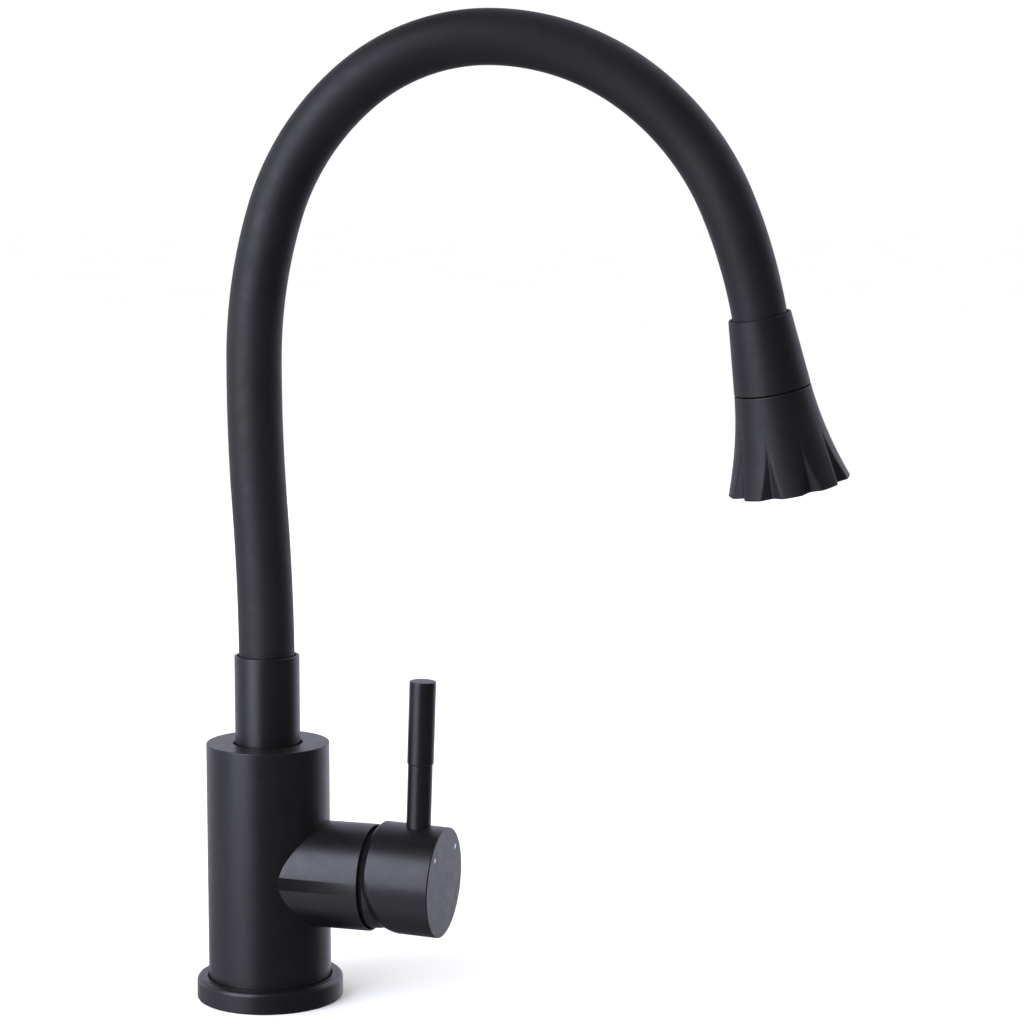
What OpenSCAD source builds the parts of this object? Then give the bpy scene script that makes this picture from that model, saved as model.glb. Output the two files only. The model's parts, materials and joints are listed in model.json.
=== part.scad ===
// Single-lever kitchen mixer with a flexible gooseneck spout and a petal-shaped spray head.
// Frame: origin on the body axis at the deck, +Z up, +X along the cartridge axis, -Y towards the user.

/* [Body] */
// Diameter of the upright body
body_d = 50.4; // [49:0.1:52]
// Height of the body's flat top above the deck
body_h = 106.4; // [104:0.1:112]
// Diameter of the deck flange
flange_d = 60.2; // [59:0.2:66]
// Height of the deck flange
flange_h = 9; // [7:0.1:10]

/* [Side housing] */
// Height of the cartridge axis above the deck
axis_h = 52.9; // [50:0.1:54]
// Diameter of the side housing
housing_d = 43.5; // [43.4:0.1:44.6]
// Reach of the side housing from the body axis
housing_reach = 46.2; // [45.8:0.1:46.4]

/* [Handle] */
// Diameter of the handle hub
hub_d = 44.8; // [44.4:0.1:45.6]
// Reach of the hub's end face from the body axis
hub_reach = 76.2; // [74:0.1:80]
// Rise of the hub's centre line above the handle's pivot
hub_rise = 1; // [0:0.1:1.2]
// Outward lean of the closed handle, in degrees
handle_lean = 2; // [0:0.5:3]
// Diameter of the lever rod
rod_d = 10; // [8:0.5:10]
// Diameter of the lever's grip
grip_d = 10.8; // [10.6:0.1:12]
// Bare length of the rod between hub and grip
rod_len = 25.6; // [18:0.1:32]
// Length of the grip
grip_len = 34; // [26:1:44]

/* [Neck] */
// Diameter of the silicone sleeve
sleeve_d = 22.8; // [22.3:0.1:22.9]
// Diameter of the swivelling collar under the neck
collar_d = 26.6; // [26:0.1:26.8]
// Height of the collar's lip above the deck
collar_h = 142.6; // [141.4:0.2:143.4]
// Direction in which the spout stands, in degrees from the handle's axis
spout_turn = 17; // [-60:1:60]
// Length of neck link 1, along the neck
first_len = 68.5; // [64:0.5:74]
// Length of neck links 2 to 7, along the neck
link_len = 60; // [56:1:64]
// Length of neck link 8, along the neck
last_len = 48.6; // [44:0.1:54]
// Outward turn of neck links 1 to 4, in degrees
lower_turn = [-3.7, 4.2, 16.6, 32.3]; // [-5:0.1:36]
// Outward turn of neck links 5 to 8, in degrees
upper_turn = [42, 34.5, 30.5, 12.6]; // [10:0.1:44]

/* [Spray head] */
// Sideways lean of the spray head, away from the user, in degrees
head_tilt = 5.5; // [-10:0.5:10]
// Diameter of the ferrule where the neck enters it
ferrule_top_d = 25.7; // [25.2:0.1:26.4]
// Diameter at the seam between ferrule and petal nozzle
seam_d = 31.5; // [30.8:0.1:32]
// Length of the ferrule
ferrule_len = 30.4; // [29.8:0.1:32]
// Length of the petal nozzle
nozzle_len = 40.5; // [38:0.5:41]
// Number of petals
petals = 9; // [6:1:12]
// Turn of the petals towards the body, from the place where one faces the user, in degrees
petal_turn = 5; // [-20:1:20]
// Number of spray nubs behind each petal
nubs_per_petal = 3; // [1:1:3]

/* [Hidden] */
$fn = 64;
eps = 0.01;

// Colours
black = [0.13, 0.13, 0.14];
silicone = [0.10, 0.10, 0.11];
brass = [0.78, 0.62, 0.34];
steel = [0.72, 0.72, 0.74];
resin = [0.86, 0.86, 0.84];
ceramic = [0.93, 0.92, 0.88];
seal = [0.16, 0.16, 0.16];

// Body: tube, roof and the recess of the flange
flange_r = flange_d / 2;
flange_edge = 2;
flange_floor = 2.5;
flange_hole_r = 21;
body_r = body_d / 2;
body_wall = 3;
bore_r = body_r - body_wall;
roof = 3;
roof_hole_r = collar_d / 2 + 0.9;
edge = 0.5;
body_foot = flange_floor;

// Inlet block and pipes
block_low = 4;
block_h = 14;
inlet_r = 4.5;
inlet_x = -5;
inlet_y = 8;
thread_depth = 10;
stud_r = 3.35;
stud_x = 9;
pipe_r = 4;
pipe_wall = 1;
pipe_bend = 10;
outlet_r = 5;
outlet_bend = 8;
port_drop = 5;
port_rise = 7;

// Cartridge stations, measured along +X from the body axis
seat_x = 8;
base_x = 14;
disc_x = 18.5;
moving_x = 22;
carrier_x = 25;
flange_x = 28.4;
roof_x = 30.2;
shoulder_x = 32.5;
nut_end_x = 37;
trim_end_x = 38.2;
neck_end_x = 52;
pivot_x = 48;
cartridge_r = 17.45;
cavity_r = 15.6;
cartridge_neck_r = 13.3;
rotor_r = 12;
rotor_gap = 0.05;
side_bore_r = 18.5;
nut_r = 18.9;
mouth_r = 20.95;

// Handle, measured from the pivot in the handle's own frame
hub_r = hub_d / 2;
face_x = hub_reach - pivot_x;
rear_mid = -5.4;
rear_tilt = 7.8;
step_x = -0.1;
step_chamfer = 1.5;
seal_x = -2;
seal_in_r = 18.6;
ball_r = mouth_r - 0.6;
hollow_r = 15.8;
hollow_x = 9.5;
shoulder_mid = -0.5;
shoulder_tilt = 16;
cove_r = 3.7;
stem_w = 8;
stem_front = 16.5;
stem_back = -6;
tail_len = 20.8;
tail_r = 1.5;
tail_ball_r = 2;
pin_r = 1.5;
lever_x = 16.5;
rod_r = rod_d / 2;
rod_root = 7;
grip_r = grip_d / 2;
screw_x = 13;
screw_r = 2.5;
mark_r = 1.1;
mark_y = 13;
mark_z = 12.1;
mark_depth = 0.4;

// Spout swivel
socket_low = 75;
shank_low = 80;
shank_r = 11;
fit_gap = 0.05;
washer_h = 0.8;
collar_low = body_h - roof - 0.2 + washer_h;
cup_depth = 8.7;
cup_r = sleeve_d / 2 + 0.65;
groove_z = 90;

// Neck: links follow each other as arcs that share their tangents
LINKS = 8;
SIDE_JOINT = 7;
turns = concat(lower_turn, upper_turn);
neck_low = collar_h - 7.2;
sleeve_r = sleeve_d / 2;
sleeve_in_r = 8.7;
core_r = 7.6;
core_bore_r = 2.8;
ball_joint_r = 6;
ball_neck_r = 3.9;
ball_neck_len = 7.5;
socket_r = 8.3;
socket_back = 6;
socket_lip = 2.5;
bend_gap = 3;
side_gap = 4.6;
tuck = 6;
core_tuck = 12;

// Spray head, measured along its axis from the ferrule's top
ferrule_top_r = ferrule_top_d / 2;
seam_r = seam_d / 2;
seam_gap = 0.4;
connector_r = 9;
spindle_r = 6.95;
nozzle_top = ferrule_len + seam_gap;
flare_slope = 0.1;
flare_curve = 0.0033;
flare_steps = 14;
valley_from = 17.5;
valley_slope = 0.1595;
valley_half_angle = 61;
mat_at = 31;
mat_h = 1.4;
plate_h = 1.8;
plate_r = 19.1;
aerator_r = 8.4;
nub_r = 0.9;
nub_rings = [11.6, 14.2, 16.8];

function link_length(k) = k == 0 ? first_len : k == LINKS - 1 ? last_len : link_len;
function heading(k) = k == 0 ? 0 : heading(k - 1) + turns[k - 1];
function radius(k) = link_length(k) / (turns[k] * PI / 180);
function along(k, s) = heading(k) + turns[k] * s / link_length(k);
function arc_step(k, s) = radius(k) * [
  cos(heading(k)) - cos(along(k, s)), 0, sin(along(k, s)) - sin(heading(k))
];
function link_start(k) =
  k == 0 ? [0, 0, neck_low] : link_start(k - 1) + arc_step(k - 1, link_length(k - 1));
function gap_at(k) = k == 0 || k == LINKS ? 0 : k == SIDE_JOINT ? side_gap : bend_gap;
function flare(t) = seam_r + flare_slope * t + flare_curve * t * t;

// Helpers

// A ring about Z
module ring(outer, inner, h) {
  difference() {
    cylinder(r = outer, h = h);
    translate([0, 0, -1]) cylinder(r = inner, h = h + 2);
  }
}

// Turns a child's +Z to the cartridge axis, starting at distance x from the body axis
module on_axis(x) {
  translate([x, 0, axis_h]) rotate([0, 90, 0]) children();
}

// The handle's own frame: origin at the pivot, +X out through the hub, leaning as it does when closed
module handle_frame() {
  translate([pivot_x, 0, axis_h]) rotate([0, handle_lean, 0]) children();
}

// The spout's frame
module spout() {
  rotate([0, 0, spout_turn]) children();
}

// Origin on the neck's centre line at distance s along link k, +Z along the neck
module at_link(k, s = 0) {
  spout() translate(link_start(k)) lean_sideways(k)
    translate(arc_step(k, s)) rotate([0, along(k, s), 0]) children();
}

// The last link leans away from the user, about the side joint at its start
module lean_sideways(k) {
  lean = k == SIDE_JOINT ? -head_tilt : 0;
  rotate(a = lean, v = [cos(heading(k)), 0, -sin(heading(k))]) children();
}

// A round bar that follows link k from s0 to s1
module arc_bar(k, s0, s1, r) {
  side = turns[k] > 0 ? 1 : -1;
  bend = abs(radius(k));
  at_link(k, s0) translate([side * bend, 0, 0]) rotate([90, 0, 90 + 90 * side])
    rotate_extrude(angle = abs(turns[k]) * (s1 - s0) / link_length(k), $fn = 360)
      translate([bend, 0]) circle(r = r);
}

// The spray head's frame
module head_frame() {
  at_link(LINKS - 1, last_len) children();
}

// A pipe that rises from z0, bends towards +X at height z1 and runs on by run
module elbow_pipe(r, bend, z0, z1, run) {
  translate([0, 0, z0]) cylinder(r = r, h = z1 - bend - z0);
  translate([bend, 0, z1 - bend]) rotate([90, 0, 180])
    rotate_extrude(angle = 90) translate([bend, 0]) circle(r = r);
  translate([bend, 0, z1]) rotate([0, 90, 0]) cylinder(r = r, h = run);
}

// Fixed parts of the body

module base_flange() {
  color(black) difference() {
    union() {
      cylinder(r = flange_r, h = flange_h - flange_edge);
      cylinder(r = flange_r - flange_edge, h = flange_h);
      translate([0, 0, flange_h - flange_edge]) rotate_extrude()
        translate([flange_r - flange_edge, 0]) circle(r = flange_edge);
    }
    translate([0, 0, -1]) cylinder(r = flange_hole_r, h = flange_h + 2);
    translate([0, 0, flange_floor]) cylinder(r = body_r + 0.4, h = flange_h);
    translate([0, 0, -1]) ring(flange_r - 2.1, flange_hole_r + 2.5, 2.5);
  }
}

module base_gasket() {
  color(seal) ring(flange_r - 2.2, flange_hole_r + 2.6, 1.5);
}

module body_shell() {
  color(black) difference() {
    union() {
      translate([0, 0, body_foot]) cylinder(r = body_r, h = body_h - body_foot - edge);
      translate([0, 0, body_h - edge]) cylinder(r1 = body_r, r2 = body_r - edge, h = edge);
      on_axis(0) cylinder(r = housing_d / 2, h = housing_reach - edge);
      on_axis(housing_reach - edge) cylinder(r1 = housing_d / 2, r2 = housing_d / 2 - edge / 2, h = edge);
    }
    translate([0, 0, body_foot - 1]) cylinder(r = bore_r, h = body_h - roof - body_foot + 1);
    translate([0, 0, body_h - roof - 1]) cylinder(r = roof_hole_r, h = roof + 2);
    on_axis(0) cylinder(r = side_bore_r, h = shoulder_x);
    on_axis(shoulder_x - eps) cylinder(r = nut_r, h = nut_end_x - shoulder_x + 1);
    on_axis(nut_end_x) cylinder(r = mouth_r, h = housing_reach);
    translate([0, 0, groove_z]) rotate([0, -90, 0]) cylinder(r = screw_r + 0.1, h = body_r + 1);
  }
}

module inlet_block() {
  color(brass) difference() {
    translate([0, 0, block_low]) cylinder(r = bore_r - 0.05, h = block_h);
    for (side = [-1, 1]) translate([inlet_x, side * inlet_y, 0]) {
      cylinder(r = inlet_r, h = block_low + thread_depth);
      cylinder(r = pipe_r - pipe_wall, h = block_low + block_h + 1);
      translate([0, 0, block_low + block_h - 3]) cylinder(r = pipe_r + 0.05, h = 4);
    }
    translate([stud_x, 0, 0]) cylinder(r = stud_r, h = block_low + thread_depth + 2);
  }
}

module supply_pipes() {
  z0 = block_low + block_h - 3;
  z1 = axis_h - port_drop;
  run = seat_x + 3 - inlet_x - pipe_bend;
  color(steel) for (side = [-1, 1]) translate([inlet_x, side * inlet_y, 0]) difference() {
    elbow_pipe(pipe_r, pipe_bend, z0, z1, run);
    elbow_pipe(pipe_r - pipe_wall, pipe_bend, z0 - 1, z1, run + 1);
  }
}

module outlet_pipe() {
  z0 = axis_h + port_rise;
  color(steel) difference() {
    outlet_path(outlet_r, z0, 3, socket_low + 3 - z0 - outlet_bend);
    outlet_path(outlet_r - pipe_wall, z0, 4, socket_low + 4 - z0 - outlet_bend);
  }
}

// Leaves the seat towards the body axis, then turns up along it
module outlet_path(r, z0, run, rise) {
  translate([seat_x + run, 0, z0]) rotate([0, -90, 0]) cylinder(r = r, h = run + seat_x - outlet_bend);
  translate([outlet_bend, 0, z0 + outlet_bend]) rotate([90, 0, 180])
    rotate_extrude(angle = -90) translate([outlet_bend, 0]) circle(r = r);
  translate([0, 0, z0 + outlet_bend]) cylinder(r = r, h = rise);
}

// Places a child at the three ports of the cartridge, +Z along the cartridge axis
module at_supply_ports(x) {
  for (side = [-1, 1]) translate([x, side * inlet_y, axis_h - port_drop]) rotate([0, 90, 0]) children();
}

module at_outlet_port(x) {
  translate([x, 0, axis_h + port_rise]) rotate([0, 90, 0]) children();
}

module cartridge_seat() {
  color(brass) difference() {
    on_axis(seat_x) cylinder(r = side_bore_r - 0.1, h = base_x - seat_x);
    at_supply_ports(seat_x - 1) cylinder(r = pipe_r + 0.05, h = 4);
    at_supply_ports(seat_x) cylinder(r = pipe_r - pipe_wall, h = 8);
    at_outlet_port(seat_x - 1) cylinder(r = outlet_r + 0.05, h = 4);
    at_outlet_port(seat_x) cylinder(r = outlet_r - pipe_wall, h = 8);
  }
}

module cartridge_base() {
  color(resin) difference() {
    on_axis(base_x) cylinder(r = cartridge_r - 0.1, h = disc_x - base_x);
    at_supply_ports(base_x - 1) cylinder(r = 2.4, h = 8);
    at_supply_ports(base_x - 1) cylinder(r = 5, h = 2.5);
    at_outlet_port(base_x - 1) cylinder(r = 3.4, h = 8);
    at_outlet_port(base_x - 1) cylinder(r = 6, h = 2.5);
  }
}

module base_seals() {
  color(seal) {
    at_supply_ports(base_x) ring(4.95, 3.4, 1.5);
    at_outlet_port(base_x) ring(5.95, 4.4, 1.5);
  }
}

module fixed_disc() {
  color(ceramic) difference() {
    on_axis(disc_x) cylinder(r = cavity_r - 0.2, h = moving_x - disc_x);
    at_supply_ports(disc_x - 1) cylinder(r = 2.4, h = 8);
    at_outlet_port(disc_x - 1) cylinder(r = 3.4, h = 8);
  }
}

module cartridge_housing() {
  color(resin) difference() {
    union() {
      on_axis(disc_x) cylinder(r = cartridge_r, h = shoulder_x - disc_x);
      on_axis(shoulder_x - 1) cylinder(r = cartridge_neck_r, h = neck_end_x - shoulder_x + 1);
    }
    on_axis(disc_x - 1) cylinder(r = cavity_r, h = roof_x - disc_x + 1);
    on_axis(disc_x) cylinder(r = rotor_r + rotor_gap, h = neck_end_x);
  }
}

module cartridge_nut() {
  color(brass) difference() {
    on_axis(shoulder_x) ring(nut_r - 0.05, cartridge_neck_r + 0.3, nut_end_x - shoulder_x);
    for (a = [0, 90]) on_axis(nut_end_x - 1) rotate([0, 0, a])
      translate([-nut_r, -1.5, 0]) cube([2 * nut_r, 3, 2]);
  }
}

module trim_ring() {
  color(black) on_axis(nut_end_x) ring(mouth_r - 0.3, cartridge_neck_r + 0.3, trim_end_x - nut_end_x);
}

module spout_socket() {
  color(brass) difference() {
    translate([0, 0, socket_low]) cylinder(r = bore_r - 0.1, h = collar_low - washer_h - socket_low);
    translate([0, 0, socket_low + 4]) cylinder(r = shank_r + fit_gap, h = body_h);
    translate([0, 0, socket_low - 1]) cylinder(r = outlet_r + 0.05, h = 4);
    translate([0, 0, socket_low]) cylinder(r = outlet_r - pipe_wall, h = 8);
    translate([0, 0, groove_z]) rotate([0, -90, 0]) cylinder(r = screw_r + 0.05, h = body_r + 1);
  }
}

module swivel_set_screw() {
  color(steel) translate([0, 0, groove_z]) rotate([0, -90, 0]) difference() {
    union() {
      translate([0, 0, shank_r + 0.6]) cylinder(r = screw_r, h = body_r - 1.5 - shank_r - 0.6);
      translate([0, 0, shank_r - 1]) cylinder(r = 1.6, h = 3);
    }
    translate([0, 0, body_r - 4]) cylinder(r = 1.4, h = 4, $fn = 6);
  }
}

module top_washer() {
  color(resin) translate([0, 0, collar_low - washer_h]) ring(roof_hole_r - 0.1, shank_r + 0.3, washer_h);
}

// Cartridge parts that turn and slide

module cartridge_rotor() {
  color(resin) difference() {
    union() {
      on_axis(flange_x) cylinder(r = rotor_r, h = neck_end_x - 0.5 - flange_x);
      on_axis(flange_x) cylinder(r = cavity_r - 0.5, h = roof_x - 0.2 - flange_x);
    }
    translate([flange_x - 1, -tail_r - 0.8, axis_h - 3]) cube([pivot_x - flange_x, 2 * tail_r + 1.6, 13]);
    translate([pivot_x - 9, -stem_w / 2 - 0.2, axis_h - 8.5]) cube([20, stem_w + 0.4, 15.5]);
    translate([pivot_x, 30, axis_h]) rotate([90, 0, 0]) cylinder(r = pin_r + 0.02, h = 60);
  }
}

module rotor_pin() {
  color(steel) translate([pivot_x, rotor_r - 0.4, axis_h]) rotate([90, 0, 0])
    cylinder(r = pin_r, h = 2 * rotor_r - 0.8);
}

// Height of the disc and its carrier when the handle is closed
disc_rest = tail_len * sin(handle_lean);

module moving_disc() {
  color(ceramic) translate([0, 0, disc_rest]) difference() {
    on_axis(moving_x) cylinder(r = 7.6, h = carrier_x - moving_x);
    on_axis(moving_x - 1) cylinder(r = 4.4, h = 2.6);
  }
}

module disc_carrier() {
  color(resin) translate([0, 0, disc_rest]) difference() {
    translate([carrier_x, -6, axis_h - 6]) cube([flange_x - 0.2 - carrier_x, 12, 12]);
    on_axis(carrier_x - 1) cylinder(r = tail_ball_r + 0.3, h = 6);
  }
}

// Handle

module cartridge_stem() {
  color(steel) handle_frame() difference() {
    union() {
      translate([stem_back, -stem_w / 2, -stem_w / 2]) cube([stem_front - stem_back, stem_w, stem_w]);
      translate([-tail_len, 0, 0]) rotate([0, 90, 0]) cylinder(r = tail_r, h = tail_len + stem_back + 1);
      translate([-tail_len, 0, 0]) sphere(r = tail_ball_r);
    }
    translate([0, 10, 0]) rotate([90, 0, 0]) cylinder(r = pin_r + 0.03, h = 20);
  }
}

// The hub's own frame: the handle's, raised to the hub's centre line
module hub_frame() {
  handle_frame() translate([0, 0, hub_rise]) children();
}

// A ball about the pivot dips into the housing, further at the top, so that the lifted hub still closes the mouth.
// A step and a tilted cove lead out to the hub's full size.
module handle_hub() {
  color(black) difference() {
    union() {
      handle_frame() intersection() {
        sphere(r = ball_r, $fn = 128);
        translate([rear_mid, 0, 0]) rotate([0, -rear_tilt, 0]) translate([0, -30, -30]) cube([40, 60, 60]);
      }
      intersection() {
        hub_frame() hub_cylinder();
        handle_frame() shoulder_solid();
      }
    }
    handle_frame() translate([seal_x, 0, 0]) rotate([0, 90, 0])
      ring(30, seal_in_r - 0.03, step_x - seal_x);
    handle_frame() intersection() {
      sphere(r = hollow_r, $fn = 128);
      translate([-20, -20, -20]) cube([20 + hollow_x, 40, 40]);
    }
    handle_frame() translate([0, -stem_w / 2 - 0.05, -stem_w / 2 - 0.05])
      cube([stem_front + 0.5, stem_w + 0.1, stem_w + 0.1]);
    hub_frame() translate([lever_x, 0, hub_r - rod_root]) cylinder(r = rod_r + 0.03, h = 20);
    hub_frame() translate([screw_x, 0, -hub_r - 1])
      cylinder(r = screw_r + 0.05, h = hub_r + 1 - hub_rise - stem_w / 2);
    for (side = [-1, 1]) at_mark(side) cylinder(r = mark_r + 0.03, h = 2);
  }
}

// A soft ring around the ball, which keeps dirt out of the gap between housing and hub
module handle_seal() {
  color(seal) handle_frame() intersection() {
    sphere(r = ball_r, $fn = 128);
    translate([seal_x, 0, 0]) rotate([0, 90, 0]) ring(30, seal_in_r, step_x - seal_x);
  }
}

// The hub at its full size, with a chamfer at the step and a small one at the face
module hub_cylinder() {
  translate([step_x, 0, 0]) rotate([0, 90, 0]) {
    cylinder(r1 = hub_r - step_chamfer, r2 = hub_r, h = step_chamfer);
    translate([0, 0, step_chamfer]) cylinder(r = hub_r, h = face_x - edge - step_x - step_chamfer);
    translate([0, 0, face_x - edge - step_x]) cylinder(r1 = hub_r, r2 = hub_r - edge, h = edge);
  }
}

// Everything in front of the hub's tilted shoulder, with a concave cove at its foot
module shoulder_solid() {
  foot_r = ball_r - 0.5;
  translate([shoulder_mid, 0, 0]) rotate([0, 90 - shoulder_tilt, 0]) difference() {
    cylinder(r = 2 * hub_r, h = 60);
    rotate_extrude($fn = 128) translate([foot_r + cove_r, 0]) circle(r = cove_r);
  }
}

module lever_rod() {
  top = hub_r + rod_len + grip_len - 3.5;
  color(black) hub_frame() translate([lever_x, 0, hub_r - rod_root])
    cylinder(r = rod_r, h = top - hub_r + rod_root);
}

module lever_grip() {
  chamfer = 0.4;
  color(black) hub_frame() translate([lever_x, 0, hub_r + rod_len]) difference() {
    union() {
      cylinder(r1 = rod_r + 0.1, r2 = grip_r, h = chamfer);
      translate([0, 0, chamfer]) cylinder(r = grip_r, h = grip_len - 2 * chamfer);
      translate([0, 0, grip_len - chamfer]) cylinder(r1 = grip_r, r2 = grip_r - chamfer, h = chamfer);
    }
    translate([0, 0, -1]) cylinder(r = rod_r + 0.03, h = grip_len - 2);
  }
}

module handle_set_screw() {
  color(steel) hub_frame() translate([screw_x, 0, 0]) difference() {
    translate([0, 0, -hub_r + 2.5]) cylinder(r = screw_r, h = hub_r - 2.6 - hub_rise - stem_w / 2);
    translate([0, 0, -hub_r]) cylinder(r = 1.4, h = 5.5, $fn = 6);
  }
}

// Origin on the floor of a mark's recess in the hub's face, +Z out of it
module at_mark(side) {
  hub_frame() translate([face_x - mark_depth, side * mark_y, mark_z]) rotate([0, 90, 0]) children();
}

module temperature_mark(side) {
  at_mark(side) cylinder(r = mark_r, h = mark_depth + 0.05);
}

module hot_mark() {
  color([0.75, 0.1, 0.1]) temperature_mark(-1);
}

module cold_mark() {
  color([0.1, 0.3, 0.8]) temperature_mark(1);
}

// Spout swivel

ring_section_r = 0.85;
ring_seats = [83, 97];

module spout_shank() {
  color(brass) spout() difference() {
    union() {
      translate([0, 0, shank_low]) cylinder(r = shank_r, h = collar_low - shank_low);
      translate([0, 0, collar_low - 1]) cylinder(r = connector_r, h = 26);
    }
    for (z = ring_seats) translate([0, 0, z - 1])
      ring(shank_r + 1, shank_r - 2 * ring_section_r, 2);
    translate([0, 0, groove_z - 2]) ring(shank_r + 1, shank_r - 1.6, 4);
    translate([0, 0, shank_low - 1]) cylinder(r = 5, h = 60);
    translate([0, 0, neck_low - core_tuck - 0.5]) cylinder(r = core_r + 0.15, h = 20);
  }
}

module spout_o_rings() {
  color(seal) spout() for (z = ring_seats) translate([0, 0, z]) rotate_extrude()
    translate([shank_r + 0.02 - ring_section_r, 0]) circle(r = ring_section_r);
}

module spout_collar() {
  r = collar_d / 2;
  color(black) spout() difference() {
    union() {
      translate([0, 0, collar_low]) cylinder(r = r, h = collar_h - edge - collar_low);
      translate([0, 0, collar_h - edge]) cylinder(r1 = r, r2 = r - edge, h = edge);
    }
    translate([0, 0, collar_low - 1]) cylinder(r = connector_r + 0.05, h = 40);
    translate([0, 0, collar_h - cup_depth]) cylinder(r = cup_r, h = cup_depth + 1);
    translate([0, 0, collar_h - edge]) cylinder(r1 = cup_r, r2 = cup_r + edge, h = edge + eps);
  }
}

// Neck

module neck_sleeve(number) {
  k = number - 1;
  s0 = gap_at(k) / 2;
  s1 = link_length(k) - gap_at(k + 1) / 2 + (number == LINKS ? tuck : 0);
  color(silicone) difference() {
    arc_bar(k, s0, s1, sleeve_r);
    arc_bar(k, s0 - 1, s1 + 1, sleeve_in_r);
  }
}

module neck_core(number) {
  k = number - 1;
  first = number == 1;
  last = number == LINKS;
  len = link_length(k);
  tube_start = first ? -core_tuck : ball_neck_len;
  tube_end = last ? len + core_tuck : len - socket_back + 0.5;
  color(steel) difference() {
    union() {
      if (!first) at_link(k) {
        sphere(r = ball_joint_r);
        cylinder(r = ball_neck_r, h = ball_neck_len + 1);
      }
      arc_bar(k, tube_start, tube_end, core_r);
      if (!last) at_link(k, len) translate([0, 0, -socket_back])
        cylinder(r = socket_r, h = socket_back + socket_lip);
    }
    arc_bar(k, first ? -core_tuck - 1 : -8, last ? len + core_tuck + 1 : len + 3, core_bore_r);
    if (!last) at_link(k, len) sphere(r = ball_joint_r + fit_gap);
  }
}

// Spray head

module head_ferrule() {
  shoulder_r = ferrule_top_r + edge * (seam_r - ferrule_top_r) / ferrule_len;
  color(black) head_frame() difference() {
    union() {
      cylinder(r1 = ferrule_top_r - edge, r2 = shoulder_r, h = edge);
      translate([0, 0, edge]) cylinder(r1 = shoulder_r, r2 = seam_r, h = ferrule_len - edge);
    }
    translate([0, 0, -1]) cylinder(r = sleeve_r + 0.35, h = 8);
    cylinder(r = connector_r + 0.05, h = ferrule_len);
    translate([0, 0, 24]) cylinder(r = 13.5, h = ferrule_len);
  }
}

module head_connector() {
  color(brass) head_frame() difference() {
    union() {
      translate([0, 0, 7.2]) cylinder(r = connector_r, h = 18);
      translate([0, 0, 24.1]) cylinder(r = 13.4, h = 3);
      translate([0, 0, 26]) cylinder(r = spindle_r, h = nozzle_top + 13.4 - 26);
      translate([0, 0, nozzle_top + 13]) cylinder(r = 5, h = 4);
    }
    translate([0, 0, 7]) cylinder(r = core_r + 0.45, h = core_tuck - 6.8);
    translate([0, 0, 7]) cylinder(r = 3.2, h = 60);
    translate([0, 0, nozzle_top + 5]) ring(spindle_r + 1, spindle_r - 1.4, 2);
  }
}

module head_o_ring() {
  color(seal) head_frame() translate([0, 0, nozzle_top + 6]) rotate_extrude()
    translate([spindle_r + 0.02 - 0.7, 0]) circle(r = 0.7);
}

module nozzle_retainer() {
  color(steel) head_frame() translate([0, 0, nozzle_top + 13.5]) ring(9, 5.05, 2.5);
}

// Outline of the petal nozzle: a flare whose slope grows towards the rim, about 1.5 mm thick
module nozzle_outline() {
  outer = [for (i = [0 : flare_steps]) let (t = (nozzle_len - 0.6) * i / flare_steps) [flare(t), t]];
  polygon(concat(outer, [
    [flare(nozzle_len) - 0.6, nozzle_len],
    [plate_r + 0.6, nozzle_len],
    [plate_r + 0.1, nozzle_len - 1],
    [plate_r + 0.1, mat_at],
    [plate_r - 1.1, mat_at],
    [seam_r - 2.2, 2.6],
    [spindle_r + 3, 2.6],
    [spindle_r + 3, 13],
    [spindle_r + fit_gap, 13],
    [spindle_r + fit_gap, 0]
  ]));
}

// Angle of the valley between petals number i and i + 1
function valley_angle(i) = petal_turn - 90 + 360 / petals * (i + 0.5);

module petal_nozzle() {
  slant = atan(valley_slope);
  color(black) head_frame() translate([0, 0, nozzle_top]) difference() {
    rotate_extrude($fn = 128) nozzle_outline();
    for (i = [0 : petals - 1]) rotate([0, 0, valley_angle(i)])
      translate([flare(valley_from), 0, valley_from]) rotate([0, slant, 0]) translate([0, 0, -4])
        linear_extrude(nozzle_len) polygon([
          [0, 0], [7, 7 * tan(valley_half_angle)], [7, -7 * tan(valley_half_angle)]
        ]);
  }
}

// Places a child at every spray nub: a row of nubs behind each petal, in three rings
module at_nubs() {
  for (i = [0 : petals - 1], j = [0 : nubs_per_petal - 1])
    rotate([0, 0, valley_angle(i) + 180 / petals * (j % 2 == 0 ? 1 : 2)])
      translate([nub_rings[j], 0, 0]) children();
}

module spray_plate() {
  color(black) head_frame() translate([0, 0, nozzle_top + mat_at + mat_h]) difference() {
    ring(plate_r, aerator_r + 0.1, plate_h);
    at_nubs() translate([0, 0, -1]) cylinder(r = nub_r + 0.1, h = plate_h + 2, $fn = 24);
  }
}

module nozzle_mat() {
  color(silicone) head_frame() translate([0, 0, nozzle_top + mat_at]) {
    ring(plate_r - 0.05, aerator_r + 0.1, mat_h);
    at_nubs() cylinder(r = nub_r, h = mat_h + plate_h + 1.2, $fn = 24);
  }
}

module aerator_housing() {
  color(black) head_frame() translate([0, 0, nozzle_top + mat_at - 8]) difference() {
    cylinder(r = aerator_r, h = 8 + mat_h + plate_h + 0.8);
    translate([0, 0, 2]) cylinder(r = aerator_r - 1.6, h = 20);
    translate([0, 0, -1]) cylinder(r = 4, h = 5);
  }
}

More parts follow.
